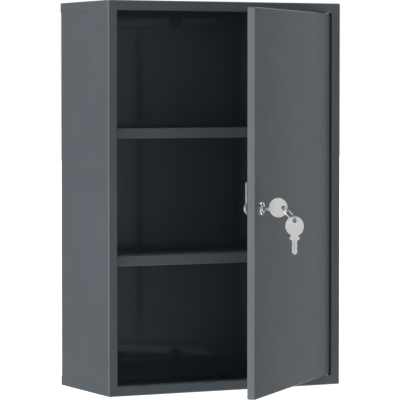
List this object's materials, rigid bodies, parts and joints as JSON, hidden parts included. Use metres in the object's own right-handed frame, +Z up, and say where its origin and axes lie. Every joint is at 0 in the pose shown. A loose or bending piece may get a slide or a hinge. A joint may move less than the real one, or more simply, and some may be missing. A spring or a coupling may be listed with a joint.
{
  "type": "lockable medicine cabinet",
  "caption": "Shallow wall cabinet of folded sheet steel with fixed shelves and one inset hinged door closed by a keyed cam lock.",
  "frame": {"origin": "centre of the flat underside of the cabinet body", "axes": "+X to the right seen from the front, +Y to the wall, +Z up"},
  "size_m": [0.3064, 0.3518, 0.46],
  "materials": {
    "powder_coat": "satin anthracite powder coat",
    "powder_coat_door": "satin anthracite powder coat",
    "zinc_plate": "bright zinc plating",
    "lock_chrome": "chrome-plated zinc die-casting",
    "pin_steel": "turned steel",
    "key_nickel": "satin nickel-plated steel",
    "ring_wire": "bright nickel-plated wire",
    "wafer_brass": "plain brass",
    "nylon": "natural nylon",
    "rubber": "matt black"
  },
  "bodies": {
    "cabinet": {"top_cap": "powder_coat", "bottom_cap": "powder_coat", "side_panel_left": "powder_coat", "side_panel_right": "powder_coat", "back_panel": "powder_coat", "shelf_upper": "powder_coat", "shelf_lower": "powder_coat", "bracket_upper_left": "powder_coat", "bracket_upper_right": "powder_coat", "bracket_lower_left": "powder_coat", "bracket_lower_right": "powder_coat", "shelf_screws": "zinc_plate", "hinge_bush_top": "nylon", "hinge_bush_bottom": "nylon", "door_stop_top": "powder_coat", "door_stop_bottom": "powder_coat", "door_buffers": "rubber"},
    "door": {"door_panel": "powder_coat_door", "door_stiffener": "powder_coat_door", "lock_plate": "zinc_plate", "hinge_bracket_top": "powder_coat_door", "hinge_bracket_bottom": "powder_coat_door", "hinge_pin_top": "pin_steel", "hinge_pin_bottom": "pin_steel", "lock_housing": "lock_chrome", "lock_nut": "zinc_plate"},
    "lock_core": {"lock_plug": "lock_chrome", "lock_wafers": "wafer_brass", "lock_cam": "zinc_plate", "cam_washer": "zinc_plate", "cam_screw": "zinc_plate"},
    "key": {"key": "key_nickel"},
    "key_ring": {"key_ring": "ring_wire"},
    "spare_key": {"spare_key": "key_nickel"}
  },
  "joints": [
    {"name": "door_hinge", "type": "hinge", "parent": "cabinet", "child": "door", "pos_m": [0.13525, -0.065, 0.23], "axis": [0, 0, 1], "range_deg": [-43.7, 64.3]},
    {"name": "key_turn", "type": "hinge", "parent": "door", "child": "lock_core", "pos_m": [-0.04587, -0.245, 0.2246], "axis": [0.6909, -0.723, 0], "range_deg": [0, 90]},
    {"name": "key_withdraw", "type": "slide", "parent": "lock_core", "child": "key", "axis": [0.6909, -0.723, 0], "range_m": [0, 0.03]},
    {"name": "ring_swing", "type": "hinge", "parent": "key", "child": "key_ring", "pos_m": [-0.02791, -0.26379, 0.2256], "axis": [-0.723, -0.6909, 0], "range_deg": [-40, 45]},
    {"name": "spare_key_swing", "type": "hinge", "parent": "key_ring", "child": "spare_key", "pos_m": [-0.01885, -0.27327, 0.21144], "axis": [-0.723, -0.6909, 0], "range_deg": [0, 50]}
  ]
}
